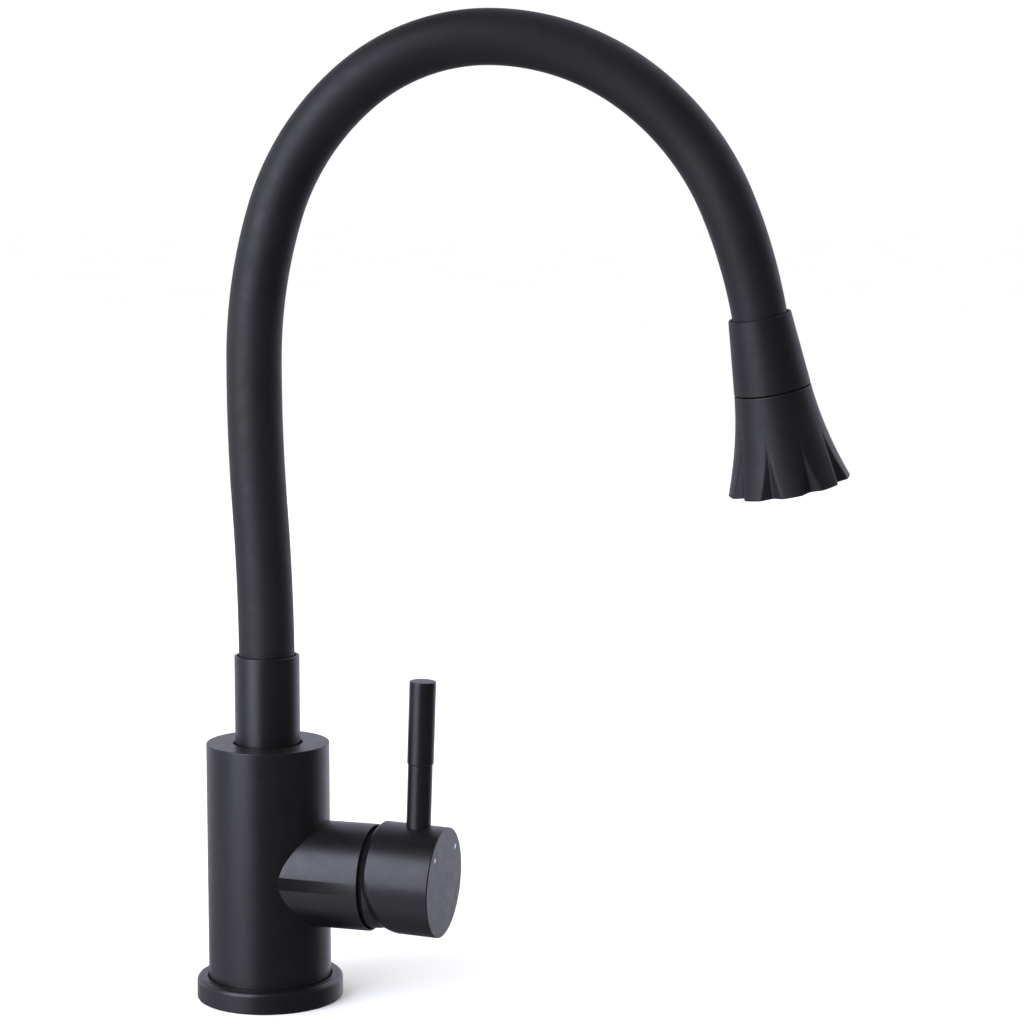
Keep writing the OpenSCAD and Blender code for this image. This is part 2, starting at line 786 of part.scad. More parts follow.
module aerator_screen() {
  h = 8;
  color(steel) head_frame() translate([0, 0, nozzle_top + mat_at]) difference() {
    cylinder(r = aerator_r - 1.65, h = 2.5);
    for (x = [-4.5 : 1.5 : 4.5], y = [-4.5 : 1.5 : 4.5]) if (x * x + y * y < 25)
      translate([x - 0.5, y - 0.5, -1]) cube([1, 1, h]);
  }
}

base_flange();
base_gasket();
body_shell();
inlet_block();
supply_pipes();
outlet_pipe();
cartridge_seat();
cartridge_base();
base_seals();
fixed_disc();
cartridge_housing();
cartridge_nut();
trim_ring();
spout_socket();
swivel_set_screw();
top_washer();
cartridge_rotor();
rotor_pin();
moving_disc();
disc_carrier();
cartridge_stem();
handle_hub();
lever_rod();
lever_grip();
handle_set_screw();
hot_mark();
cold_mark();
handle_seal();
spout_shank();
spout_o_rings();
spout_collar();
neck_sleeve(1);  // neck_sleeve_1
neck_sleeve(2);  // neck_sleeve_2
neck_sleeve(3);  // neck_sleeve_3
neck_sleeve(4);  // neck_sleeve_4
neck_sleeve(5);  // neck_sleeve_5
neck_sleeve(6);  // neck_sleeve_6
neck_sleeve(7);  // neck_sleeve_7
neck_sleeve(8);  // neck_sleeve_8
neck_core(1);  // neck_core_1
neck_core(2);  // neck_core_2
neck_core(3);  // neck_core_3
neck_core(4);  // neck_core_4
neck_core(5);  // neck_core_5
neck_core(6);  // neck_core_6
neck_core(7);  // neck_core_7
neck_core(8);  // neck_core_8
head_ferrule();
head_connector();
head_o_ring();
nozzle_retainer();
petal_nozzle();
spray_plate();
nozzle_mat();
aerator_housing();
aerator_screen();
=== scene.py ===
import json
import math

import bmesh
import bpy
from mathutils import Matrix, Vector


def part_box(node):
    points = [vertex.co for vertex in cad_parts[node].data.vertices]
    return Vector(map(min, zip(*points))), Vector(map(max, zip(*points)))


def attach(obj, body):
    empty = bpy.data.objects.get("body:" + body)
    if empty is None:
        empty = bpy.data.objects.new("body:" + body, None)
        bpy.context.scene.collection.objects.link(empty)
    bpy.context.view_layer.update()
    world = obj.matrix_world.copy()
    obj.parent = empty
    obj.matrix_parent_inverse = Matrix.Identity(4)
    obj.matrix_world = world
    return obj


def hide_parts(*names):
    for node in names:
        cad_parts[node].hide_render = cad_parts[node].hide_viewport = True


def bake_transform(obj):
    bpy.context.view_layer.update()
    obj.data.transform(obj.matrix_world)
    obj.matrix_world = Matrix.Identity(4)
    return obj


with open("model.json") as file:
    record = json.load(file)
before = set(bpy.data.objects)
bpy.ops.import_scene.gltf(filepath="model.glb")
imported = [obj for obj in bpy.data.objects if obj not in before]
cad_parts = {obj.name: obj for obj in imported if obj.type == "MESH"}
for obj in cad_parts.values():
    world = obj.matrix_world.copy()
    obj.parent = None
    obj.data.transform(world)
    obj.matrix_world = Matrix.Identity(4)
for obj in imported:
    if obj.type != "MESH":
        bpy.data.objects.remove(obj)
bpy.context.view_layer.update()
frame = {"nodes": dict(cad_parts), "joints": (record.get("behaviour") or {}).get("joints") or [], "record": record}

# Looks of a single-lever kitchen mixer with a flexible, silicone-sleeved neck and a petal spray head.
# Every length is in metres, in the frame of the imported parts.

MM = 0.001
FIT_GAP = 0.03 * MM  # between fitted pieces, so that no two faces lie in one place
UP = Vector((0, 0, 1))
JOINTS = {joint["name"]: joint for joint in frame["joints"]}


def pivot(joint):
    """Where a joint turns."""
    return Vector(JOINTS[joint]["pos_m"])


def axis(joint):
    """The direction that a joint turns about."""
    return Vector(JOINTS[joint]["axis"]).normalized()


def low(node):
    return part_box(node)[0]


def high(node):
    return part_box(node)[1]


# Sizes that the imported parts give
FLANGE_R = high("base_flange").x
FLANGE_H = high("base_flange").z
BODY_R = -low("body_shell").x
BODY_LOW = low("body_shell").z
BODY_H = high("body_shell").z
HOUSING_REACH = high("body_shell").x
COLLAR_LOW = low("spout_collar").z
COLLAR_H = high("spout_collar").z
COLLAR_R = 13.3 * MM
AXIS_H = pivot("mixing_turn").z
NECK_LOW = low("neck_sleeve_1").z

# Sizes of the body
HOUSING_R = 21.75 * MM
MOUTH_R = 20.95 * MM
NUT_R = 18.9 * MM
SIDE_BORE_R = 18.5 * MM
SHOULDER_X = 32.5 * MM
MOUTH_X = 37 * MM
BORE_R = BODY_R - 3 * MM
ROOF = 3 * MM
ROOF_HOLE_R = COLLAR_R + 0.9 * MM
FLANGE_HOLE_R = 21 * MM
SET_SCREW_R = 2.5 * MM

# Sizes of the handle, from the pivot; its rear reaches further into the housing at the top
HANDLE_LEAN = math.radians(2)
HUB_R = 22.4 * MM
HUB_RISE = MM
HUB_FACE = 28.2 * MM
REAR_MID = -5.4 * MM
REAR_TILT = math.radians(7.8)
STEP_X = -0.1 * MM
STEP_CHAMFER = 1.5 * MM
BALL_R = 20.35 * MM
HOLLOW_R = 15.8 * MM
HOLLOW_DEPTH = 9.5 * MM
SHOULDER_MID = -0.5 * MM
SHOULDER_TILT = math.radians(16)
SHOULDER_SLOPE = math.tan(math.radians(38))
FOOT_R = BALL_R - 0.5 * MM
SEAL_X = -2 * MM
SEAL_IN_R = 18.6 * MM
STEM_W = 8 * MM
STEM_FRONT = 16.5 * MM
LEVER_X = 16.5 * MM
LEVER_ROOT = HUB_R - 7 * MM
ROD_R = 5 * MM
ROD_BARE = 25.6 * MM
GRIP_R = 5.4 * MM
GRIP_LEN = 34 * MM
HUB_SCREW_X = 13 * MM
MARK_R = 1.1 * MM
MARK_Y = 13 * MM
MARK_Z = 12.1 * MM
MARK_DEPTH = 0.4 * MM

# Sizes of the neck
CUP_R = 12.05 * MM
CUP_DEPTH = 8.7 * MM
SHANK_FIT_R = 9.05 * MM
SLEEVE_R = 11.35 * MM
SLEEVE_WAIST = 0.17 * MM
SLEEVE_BORE_R = 8.7 * MM
HOSE_R = 7.6 * MM
HOSE_RIDGE = 0.35 * MM
HOSE_PITCH = 5 * MM
HOSE_BORE_R = 2.8 * MM
HOSE_TUCK = 12 * MM
SLEEVE_TUCK = 6 * MM
LEAN_REACH = 28 * MM

# Sizes of the head, from the ferrule's top along its axis
FERRULE_LEN = 30.4 * MM
FERRULE_TOP_R = 12.85 * MM
CUFF_R = 11.75 * MM
SEAM_R = 15.75 * MM
SEAM_GAP = 0.4 * MM
NOZZLE_TOP = FERRULE_LEN + SEAM_GAP
NOZZLE_LEN = 40.5 * MM
PETAL_TURN = math.radians(5)
HEAD_TILT = math.radians(5.5)
SPINDLE_R = 7 * MM
PETALS = 9
FLARE_SLOPE = 0.1
FLARE_CURVE = 3.3  # per metre
VALLEY_FROM = 17.5 * MM
VALLEY_SLOPE = 0.1595
VALLEY_SPREAD = math.tan(math.radians(61))
PLATE_R = 19.1 * MM
MAT_AT = 31 * MM
MAT_H = 1.4 * MM
PLATE_H = 1.8 * MM
AERATOR_R = 8.4 * MM
NUB_R = 0.9 * MM
NUB_RINGS = (11.6 * MM, 14.2 * MM, 16.8 * MM)


# ------------------------------------------------------------------ mesh helpers


def fillet(before, corner, after, radius, step=math.radians(15)):
    """The points of a round of that radius in place of an outline's corner."""
    u = (before - corner).normalized()
    v = (after - corner).normalized()
    half = u.angle(v) / 2
    if radius <= 0 or half > math.radians(89):
        return [corner]
    reach = radius / math.tan(half)
    centre = corner + (u + v).normalized() * (radius / math.sin(half))
    a = corner + u * reach - centre
    b = corner + v * reach - centre
    sweep = math.pi - 2 * half
    count = max(2, math.ceil(sweep / step))
    shares = [i / count for i in range(count + 1)]
    arms = [a * math.sin((1 - t) * sweep) + b * math.sin(t * sweep) for t in shares]
    return [centre + arm / math.sin(sweep) for arm in arms]


def outline(corners, closed=True):
    """An outline of (radius, height) points from (radius, height, round) corners."""
    points = [Vector(c[:2]) for c in corners]
    rounds = [c[2] if len(c) > 2 else 0 for c in corners]
    made = []
    for i, point in enumerate(points):
        if not closed and i in (0, len(points) - 1):
            made.append(point)
        else:
            made += fillet(points[i - 1], point, points[(i + 1) % len(points)], rounds[i])
    return made


def solid(name, columns, closed=True, place=Matrix()):
    """A solid from columns of points that follow each other round it.

    A column that isn't closed ends on the axis.
    """
    made = bmesh.new()
    grid = [[made.verts.new(place @ Vector(p)) for p in column] for column in columns]
    count = len(grid[0])
    for a, b in zip(grid, grid[1:] + grid[:1]):
        for i in range(count if closed else count - 1):
            j = (i + 1) % count
            made.faces.new((a[i], a[j], b[j], b[i]))
    bmesh.ops.remove_doubles(made, verts=made.verts, dist=1e-7)
    bmesh.ops.recalc_face_normals(made, faces=made.faces)
    return to_object(name, made)


def to_object(name, made):
    mesh = bpy.data.meshes.new(name)
    made.to_mesh(mesh)
    made.free()
    thing = bpy.data.objects.new(name, mesh)
    bpy.context.scene.collection.objects.link(thing)
    return thing


def round_turns(sides):
    """Equal steps of one full turn."""
    return [2 * math.pi * k / sides for k in range(sides)]


def lathe(name, corners, closed=True, place=Matrix(), sides=160):
    """A solid turned from an outline about its own Z axis."""
    points = outline(corners, closed)
    columns = []
    for turn in round_turns(sides):
        columns.append([(p.x * math.cos(turn), p.x * math.sin(turn), p.y) for p in points])
    return solid(name, columns, closed, place)


def rod(name, radius, start, end, place=Matrix(), sides=64):
    """A plain round cutter along the placement's Z axis."""
    return lathe(name, [(0, start), (radius, start), (radius, end), (0, end)], False, place, sides)


def block(name, lowest, highest, place=Matrix()):
    """A plain square cutter."""
    made = bmesh.new()
    bmesh.ops.create_cube(made, size=1)
    size = Vector(highest) - Vector(lowest)
    middle = (Vector(highest) + Vector(lowest)) / 2
    for vertex in made.verts:
        vertex.co = place @ (Vector(c * s for c, s in zip(vertex.co, size)) + middle)
    return to_object(name, made)


def combine(thing, tool, operation="DIFFERENCE"):
    """Cuts a tool from a solid, or joins it on."""
    modifier = thing.modifiers.new("combine", "BOOLEAN")
    modifier.object = tool
    modifier.operation = operation
    modifier.solver = "EXACT"
    bpy.context.view_layer.update()
    made = bpy.data.meshes.new_from_object(thing.evaluated_get(bpy.context.evaluated_depsgraph_get()))
    thing.modifiers.clear()
    thing.data = made
    bpy.data.objects.remove(tool)


def join(name, things):
    """One object from several."""
    made = bmesh.new()
    for thing in things:
        made.from_mesh(thing.data)
        bpy.data.objects.remove(thing)
    return to_object(name, made)


def shade(thing, weighted=True, sharp=math.radians(32)):
    """Smooth shading that breaks at sharp edges and keeps flats flat."""
    made = bmesh.new()
    made.from_mesh(thing.data)
    for face in made.faces:
        face.smooth = True
    for edge in made.edges:
        edge.smooth = len(edge.link_faces) == 2 and edge.calc_face_angle() < sharp
    made.to_mesh(thing.data)
    made.free()
    if weighted:
        modifier = thing.modifiers.new("flats", "WEIGHTED_NORMAL")
        modifier.keep_sharp = True


def dress(thing, look, nodes, body=None):
    """Gives a new piece its material, hides the parts it stands for, and hangs it on its body."""
    thing.data.materials.clear()
    thing.data.materials.append(LOOKS[look])
    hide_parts(*nodes)
    if body:
        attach(thing, body)


def smooth_step(t):
    t = min(1, max(0, t))
    return t * t * (3 - 2 * t)


def soft_min(a, b, width):
    """The smaller of two values, rounded over where they meet."""
    h = max(width - abs(a - b), 0) / width
    return min(a, b) - h * h * width / 4


def soft_max(a, b, width):
    return -soft_min(-a, -b, width)


# ------------------------------------------------------------------ materials


class Shader:
    """A material's node tree, with short calls for the nodes that the looks use."""

    def __init__(self, name):
        self.material = bpy.data.materials.new(name)
        self.material.use_nodes = True
        self.tree = self.material.node_tree
        self.main = self.tree.nodes["Principled BSDF"]
        self.place = self.tree.nodes.new("ShaderNodeTexCoord").outputs["Object"]

    def node(self, kind, **settings):
        made = self.tree.nodes.new("ShaderNode" + kind)
        for key, value in settings.items():
            setattr(made, key, value)
        return made

    def link(self, source, target):
        self.tree.links.new(source, target)

    def noise(self, scale, detail=3.0, roughness=0.55, stretch=None):
        made = self.node("TexNoise")
        made.inputs["Scale"].default_value = scale
        made.inputs["Detail"].default_value = detail
        made.inputs["Roughness"].default_value = roughness
        self.link(self.stretched(stretch), made.inputs["Vector"])
        return made.outputs["Fac"]

    def stretched(self, stretch):
        if not stretch:
            return self.place
        mapping = self.node("Mapping")
        mapping.inputs["Scale"].default_value = stretch
        self.link(self.place, mapping.inputs["Vector"])
        return mapping.outputs["Vector"]

    def span(self, value, low_in, high_in, low_out, high_out):
        """A value carried from one range to another, and kept inside it."""
        made = self.node("MapRange")
        ends = {"From Min": low_in, "From Max": high_in, "To Min": low_out, "To Max": high_out}
        for key, number in ends.items():
            made.inputs[key].default_value = number
        self.link(value, made.inputs["Value"])
        return made.outputs["Result"]

    def blend(self, share, first, second):
        """A colour between two colours, or between an earlier output and a colour."""
        made = self.node("Mix", data_type="RGBA")
        self.link(share, made.inputs["Factor"])
        for key, colour in (("A", first), ("B", second)):
            socket = [s for s in made.inputs if s.name == key and s.type == "RGBA"][0]
            if isinstance(colour, tuple):
                socket.default_value = (*colour, 1)
            else:
                self.link(colour, socket)
        return [s for s in made.outputs if s.type == "RGBA"][0]

    def worn(self, start=0.53, end=0.6):
        """How much an outer edge has been handled, from the shape's own curvature."""
        return self.span(self.node("NewGeometry").outputs["Pointiness"], start, end, 0, 1)

    def bump(self, height, distance, strength=1.0, under=None):
        made = self.node("Bump")
        made.inputs["Distance"].default_value = distance
        made.inputs["Strength"].default_value = strength
        self.link(height, made.inputs["Height"])
        if under:
            self.link(under, made.inputs["Normal"])
        return made.outputs["Normal"]

    def set(self, **values):
        """Sets plain numbers straight on the shader, or links an output to it."""
        for key, value in values.items():
            socket = self.main.inputs[key.replace("_", " ")]
            if isinstance(value, bpy.types.NodeSocket):
                self.link(value, socket)
            elif isinstance(value, tuple):
                socket.default_value = (*value, 1)
            else:
                socket.default_value = value
        return self.material


def painted_black(name, base, worn_to, roughness, grain, ior=1.5):
    """Satin black finish: a colour that clouds a little, a fine orange peel, and edges rubbed lighter."""
    s = Shader(name)
    cloud = s.noise(35, 4)
    colour = s.blend(s.span(cloud, 0.35, 0.65, 0, 1), base, tuple(c * 1.35 for c in base))
    worn = s.blend(s.worn(), colour, worn_to)
    rough = s.span(s.noise(220, 3), 0.3, 0.7, roughness - 0.035, roughness + 0.035)
    peel = s.bump(s.noise(1400, 2, 0.5), 0.00002, grain)
    fine = s.bump(s.noise(6000, 2, 0.6), 0.000006, grain, peel)
    return s.set(Base_Color=worn, Roughness=rough, Normal=fine, IOR=ior)


def soft_silicone():
    """Matt black silicone with a skin-like bloom and a few specks of dust."""
    s = Shader("silicone")
    cloud = s.noise(22, 4)
    colour = s.blend(s.span(cloud, 0.35, 0.65, 0, 1), (0.0036, 0.0036, 0.0041), (0.0062, 0.0062, 0.0068))
    cells = s.node("TexVoronoi", feature="F1")
    cells.inputs["Scale"].default_value = 150
    s.link(s.place, cells.inputs["Vector"])
    near = s.span(cells.outputs["Distance"], 0.018, 0.04, 1, 0)
    pick = s.node("Math", operation="MULTIPLY")
    tint = s.node("SeparateColor")
    s.link(cells.outputs["Color"], tint.inputs["Color"])
    s.link(s.span(tint.outputs["Red"], 0.9, 0.91, 0, 1), pick.inputs[0])
    s.link(near, pick.inputs[1])
    dusted = s.blend(pick.outputs["Value"], colour, (0.16, 0.15, 0.14))
    rough = s.span(s.noise(160, 4), 0.3, 0.7, 0.52, 0.62)
    skin = s.bump(s.noise(900, 3, 0.6), 0.00003, 0.5)
    fine = s.bump(s.noise(4200, 2, 0.6), 0.00001, 0.6, skin)
    return s.set(Base_Color=dusted, Roughness=rough, Normal=fine, IOR=1.45,
                 Sheen_Weight=0.035, Sheen_Roughness=0.35)


def turned_metal(name, base, dark, roughness):
    """Turned or drawn metal: fine lines, slight tarnish and brighter edges."""
    s = Shader(name)
    tarnish = s.span(s.noise(60, 5), 0.35, 0.7, 0, 1)
    colour = s.blend(tarnish, base, dark)
    bright = s.blend(s.worn(), colour, tuple(min(1, c * 1.15) for c in base))
    lines = s.noise(900, 2, 0.6, (0.15, 0.15, 4))
    rough = s.span(lines, 0.3, 0.7, roughness - 0.07, roughness + 0.07)
    return s.set(Base_Color=bright, Metallic=1.0, Roughness=rough, Normal=s.bump(lines, 0.00001, 0.5))


def moulded(name, base, second, roughness, grain=0.4, ior=1.5, scatter=0.0):
    """Moulded resin, rubber or fired ceramic: a faint cloud in the colour and a fine skin."""
    s = Shader(name)
    colour = s.blend(s.span(s.noise(45, 4), 0.35, 0.65, 0, 1), base, second)
    rough = s.span(s.noise(300, 3), 0.3, 0.7, roughness - 0.05, roughness + 0.05)
    skin = s.bump(s.noise(2200, 3, 0.6), 0.000015, grain)
    return s.set(Base_Color=colour, Roughness=rough, Normal=skin, IOR=ior, Subsurface_Weight=scatter)


def enamel(name, base, second):
    """A drop of glossy enamel in its recess."""
    s = Shader(name)
    colour = s.blend(s.span(s.noise(500, 3), 0.35, 0.65, 0, 1), base, second)
    rough = s.span(s.noise(900, 2), 0.3, 0.7, 0.22, 0.3)
    skin = s.bump(s.noise(2500), 0.00001, 0.3)
    return s.set(Base_Color=colour, Roughness=rough, Normal=skin, Coat_Weight=0.3)


LOOKS = {
    "black_finish": painted_black("black_finish", (0.0038, 0.0038, 0.0042), (0.03, 0.029, 0.028), 0.36, 0.35),
    "black_plastic": painted_black("black_plastic", (0.0034, 0.0034, 0.0038), (0.016, 0.016, 0.017),
                                   0.52, 0.5, 1.43),
    "silicone": soft_silicone(),
    "brass": turned_metal("brass", (0.78, 0.56, 0.26), (0.6, 0.4, 0.17), 0.3),
    "steel": turned_metal("steel", (0.6, 0.6, 0.61), (0.42, 0.42, 0.43), 0.28),
    "resin": moulded("resin", (0.72, 0.71, 0.67), (0.66, 0.65, 0.61), 0.42, 0.4, 1.46, 0.1),
    "ceramic": moulded("ceramic", (0.82, 0.8, 0.74), (0.78, 0.76, 0.7), 0.25, 0.2, 1.7),
    "seal": moulded("seal", (0.0015, 0.0015, 0.0015), (0.003, 0.003, 0.003), 0.75, 0.6, 1.3),
    "hot": enamel("hot", (0.36, 0.23, 0.22), (0.3, 0.18, 0.17)),
    "cold": enamel("cold", (0.33, 0.42, 0.62), (0.27, 0.36, 0.56)),
}


# ------------------------------------------------------------------ body


def along_x(x):
    """Turns +Z to the cartridge's axis, starting at distance x from the body's axis."""
    return Matrix.Translation((x, 0, AXIS_H)) @ Matrix.Rotation(math.pi / 2, 4, "Y")


def make_flange():
    recess_r = BODY_R + 0.4 * MM
    groove_in, groove_out = FLANGE_HOLE_R + 2.5 * MM, FLANGE_R - 2.1 * MM
    flange = lathe("base_flange_cover", [
        (FLANGE_HOLE_R, 0, 0.2 * MM), (FLANGE_R - 0.3 * MM, 0, 0), (FLANGE_R, 0.5 * MM, 0.4 * MM),
        (FLANGE_R, FLANGE_H, 2 * MM), (recess_r, FLANGE_H, 0.35 * MM), (recess_r, BODY_LOW, 0),
        (FLANGE_HOLE_R, BODY_LOW, 0.2 * MM),
    ], sides=220)
    groove = [(groove_in, -MM), (groove_out, -MM), (groove_out, 1.5 * MM), (groove_in, 1.5 * MM)]
    combine(flange, lathe("groove", groove, sides=220))
    shade(flange)
    dress(flange, "black_finish", ["base_flange"], "body")


def make_body():
    """The bores' facets lie half a step off the walls' facets, so that the cuts leave even rims."""
    sides = 256
    body = lathe("body_casing", [
        (0, BODY_LOW), (BODY_R, BODY_LOW, 0.3 * MM), (BODY_R, BODY_H, 0.45 * MM),
        (BODY_R - 1.2 * MM, BODY_H), (ROOF_HOLE_R + 1.2 * MM, BODY_H), (0, BODY_H),
    ], False, sides=sides)
    housing = lathe("housing", [
        (0, 0), (HOUSING_R, 0), (HOUSING_R, HOUSING_REACH, 0.3 * MM), (0, HOUSING_REACH),
    ], False, along_x(0), sides)
    combine(body, housing, "UNION")
    half_step = Matrix.Rotation(math.pi / sides, 4, "Z")
    roof_low, hole_r = BODY_H - ROOF, ROOF_HOLE_R + 0.3 * MM
    combine(body, lathe("bore", [
        (0, 0), (BORE_R, 0), (BORE_R, roof_low), (ROOF_HOLE_R, roof_low), (ROOF_HOLE_R, BODY_H - 0.3 * MM),
        (hole_r, BODY_H), (hole_r, BODY_H + MM), (0, BODY_H + MM),
    ], False, half_step, sides))
    mouth_end, mouth_r = HOUSING_REACH - 0.25 * MM, MOUTH_R + 0.25 * MM
    combine(body, lathe("side_bore", [
        (0, 0), (SIDE_BORE_R, 0), (SIDE_BORE_R, SHOULDER_X), (NUT_R, SHOULDER_X), (NUT_R, MOUTH_X),
        (MOUTH_R, MOUTH_X), (MOUTH_R, mouth_end), (mouth_r, HOUSING_REACH),
        (mouth_r, HOUSING_REACH + MM), (0, HOUSING_REACH + MM),
    ], False, along_x(0) @ half_step, sides))
    behind = Matrix.Translation((0, 0, pivot("spout_swivel").z)) @ Matrix.Rotation(-math.pi / 2, 4, "Y")
    combine(body, rod("screw_hole", SET_SCREW_R + 0.1 * MM, 0, BODY_R + MM, behind))
    shade(body)
    dress(body, "black_finish", ["body_shell"], "body")


# ------------------------------------------------------------------ handle


HANDLE = Matrix.Translation(pivot("lever_lift")) @ Matrix.Rotation(HANDLE_LEAN, 4, "Y")
HUB = HANDLE @ Matrix.Translation((0, 0, HUB_RISE))


def raised(radius, turn):
    """The distance from the pivot's axis to a circle about the hub's centre line, a little higher."""
    return HUB_RISE * math.cos(turn) + math.sqrt(radius ** 2 - (HUB_RISE * math.sin(turn)) ** 2)


def shoulder_radius(x, turn):
    """The tilted shoulder's distance from the pivot's axis, or None where the hub has its full size."""
    lean_cos, lean_sin = math.cos(SHOULDER_TILT), math.sin(SHOULDER_TILT)
    out = x - SHOULDER_MID
    shoulder = BALL_R
    for _ in range(8):
        depth = out * lean_cos + shoulder * math.cos(turn) * lean_sin
        reach = FOOT_R + max(depth, 0) * SHOULDER_SLOPE
        shoulder = math.sqrt(max(reach ** 2 + depth ** 2 - out ** 2, 0))
    if reach > HUB_R + 2 * MM:
        return None
    return shoulder if depth > 0 else 0


def hub_radius(x, turn):
    """The hub's outer radius in front of the seal.

    A chamfered step or a tilted shoulder leads out of the ball to the full size.
    """
    ball = math.sqrt(max(BALL_R ** 2 - x ** 2, 0))
    full = raised(HUB_R - max(STEP_CHAMFER - (x - STEP_X), 0), turn)
    shoulder = shoulder_radius(x, turn)
    if shoulder is not None:
        full = soft_min(full, shoulder, MM)
    return soft_max(ball, full, 0.6 * MM)


def rear_angle(ball_r, turn):
    """Where the hub's tilted rear meets a ball about the pivot, as an angle from the pivot's plane."""
    angle = 0.0
    for _ in range(8):
        angle = math.asin(REAR_MID / ball_r - math.cos(angle) * math.cos(turn) * math.tan(REAR_TILT))
    return angle


def make_hub():
    columns = []
    sides, shoulder_end, step, steps = 240, 13 * MM, 0.14 * MM, 24
    stations = [STEP_X + step * i for i in range(int((shoulder_end - STEP_X) / step))]
    face_round = outline([(HUB_R, shoulder_end), (HUB_R, HUB_FACE, 0.45 * MM), (0, HUB_FACE)], False)[1:-1]
    hollow_end = math.asin(HOLLOW_DEPTH / HOLLOW_R)
    seal_angle = math.asin(SEAL_X / BALL_R)
    seat_r = SEAL_IN_R - FIT_GAP
    for turn in round_turns(sides):
        start = rear_angle(HOLLOW_R, turn)
        hollow = [hollow_end + (start - hollow_end) * i / steps for i in range(steps + 1)]
        points = [(0, HOLLOW_DEPTH)] + [(HOLLOW_R * math.cos(a), HOLLOW_R * math.sin(a)) for a in hollow]
        start = rear_angle(BALL_R, turn)
        rear_r, rear_x = BALL_R * math.cos(start), BALL_R * math.sin(start)
        points += [(rear_r - 0.25 * MM, rear_x + 0.02 * MM), (rear_r - 0.05 * MM, rear_x + 0.08 * MM)]
        start = math.asin((rear_x + 0.25 * MM) / BALL_R)
        ball = [start + (seal_angle - start) * i / steps for i in range(steps + 1)]
        points += [(BALL_R * math.cos(a), BALL_R * math.sin(a)) for a in ball]
        points += [(seat_r, SEAL_X), (seat_r, STEP_X)]
        points += [(hub_radius(x, turn), x) for x in stations]
        points += [(raised(p.x, turn), p.y) for p in face_round] + [(0, HUB_FACE)]
        columns.append([(x, r * math.sin(turn), r * math.cos(turn)) for r, x in points])
    hub = solid("lever_hub", columns, False, HANDLE)
    half = STEM_W / 2 + 0.05 * MM
    combine(hub, block("stem_pocket", (0, -half, -half), (STEM_FRONT + 0.5 * MM, half, half), HANDLE))
    upright = HUB @ Matrix.Translation((LEVER_X, 0, 0))
    combine(hub, rod("rod_hole", ROD_R + FIT_GAP, LEVER_ROOT, HUB_R + MM, upright, 96))
    below = HUB @ Matrix.Translation((HUB_SCREW_X, 0, 0)) @ Matrix.Rotation(math.pi, 4, "X")
    combine(hub, rod("hub_screw_hole", SET_SCREW_R + 0.05 * MM, STEM_W / 2 + HUB_RISE, HUB_R + MM, below))
    for side in (-1, 1):
        combine(hub, rod("mark_recess", MARK_R + FIT_GAP, 0, MM, mark_place(side), 48))
    shade(hub)
    dress(hub, "black_finish", ["handle_hub"], "handle")


def make_handle_seal():
    seal = lathe("dust_seal", [
        (SEAL_IN_R, SEAL_X), (SEAL_IN_R, STEP_X), (BALL_R - 0.05 * MM, STEP_X),
        (BALL_R - 0.06 * MM, SEAL_X / 2), (BALL_R - 0.12 * MM, SEAL_X),
    ], True, HANDLE @ Matrix.Rotation(math.pi / 2, 4, "Y"), 240)
    shade(seal)
    dress(seal, "seal", ["handle_seal"], "handle")


def mark_place(side):
    """The floor of a temperature mark's recess in the hub's face."""
    out = Matrix.Translation((HUB_FACE - MARK_DEPTH, side * MARK_Y, MARK_Z))
    return HUB @ out @ Matrix.Rotation(math.pi / 2, 4, "Y")


def make_marks():
    for side, look in ((-1, "hot"), (1, "cold")):
        mark = lathe(look + "_enamel", [
            (0, 0), (MARK_R, 0, 0), (MARK_R, MARK_DEPTH, 0.12 * MM),
            (0.5 * MARK_R, MARK_DEPTH + 0.05 * MM, MM),
            (0, MARK_DEPTH + 0.05 * MM),
        ], False, mark_place(side), 48)
        shade(mark)
        dress(mark, look, [look + "_mark"], "handle")


def make_lever():
    upright = HUB @ Matrix.Translation((LEVER_X, 0, 0))
    grip_low = HUB_R + ROD_BARE
    grip_high = grip_low + GRIP_LEN
    rod_top = grip_high - 3.5 * MM
    lever = lathe("lever_stalk", [
        (0, LEVER_ROOT), (ROD_R, LEVER_ROOT, 0.4 * MM), (ROD_R, rod_top, 0.3 * MM), (0, rod_top),
    ], False, upright, 96)
    shade(lever)
    dress(lever, "black_finish", ["lever_rod"], "handle")
    bore = ROD_R + FIT_GAP
    grip = lathe("lever_sleeve", [
        (0, rod_top + 0.5 * MM), (bore, rod_top + 0.5 * MM), (bore, grip_low),
        (ROD_R + 0.12 * MM, grip_low, 0.05 * MM), (GRIP_R, grip_low + 0.45 * MM, 0.3 * MM),
        (GRIP_R, grip_high, 0.45 * MM), (0, grip_high),
    ], False, upright, 96)
    shade(grip)
    dress(grip, "black_finish", ["lever_grip"], "handle")


# ------------------------------------------------------------------ neck


BENDS = ("neck_lower_bend", "neck_lower_bend_2", "neck_lower_bend_3",
         "neck_upper_bend", "neck_upper_bend_2", "neck_upper_bend_3", "head_side_bend")
SIDEWAYS = axis("neck_lower_bend")
OUTWARD = SIDEWAYS.cross(UP)
SIDE_BEND = pivot("head_side_bend")
HEAD_AXIS = axis("nozzle_turn")
FERRULE_TOP = pivot("nozzle_turn") - HEAD_AXIS * NOZZLE_TOP


def leaned(share):
    """The sideways lean of the head about the side joint, or a share of it."""
    return Matrix.Rotation(-HEAD_TILT * share, 3, axis("head_side_bend"))


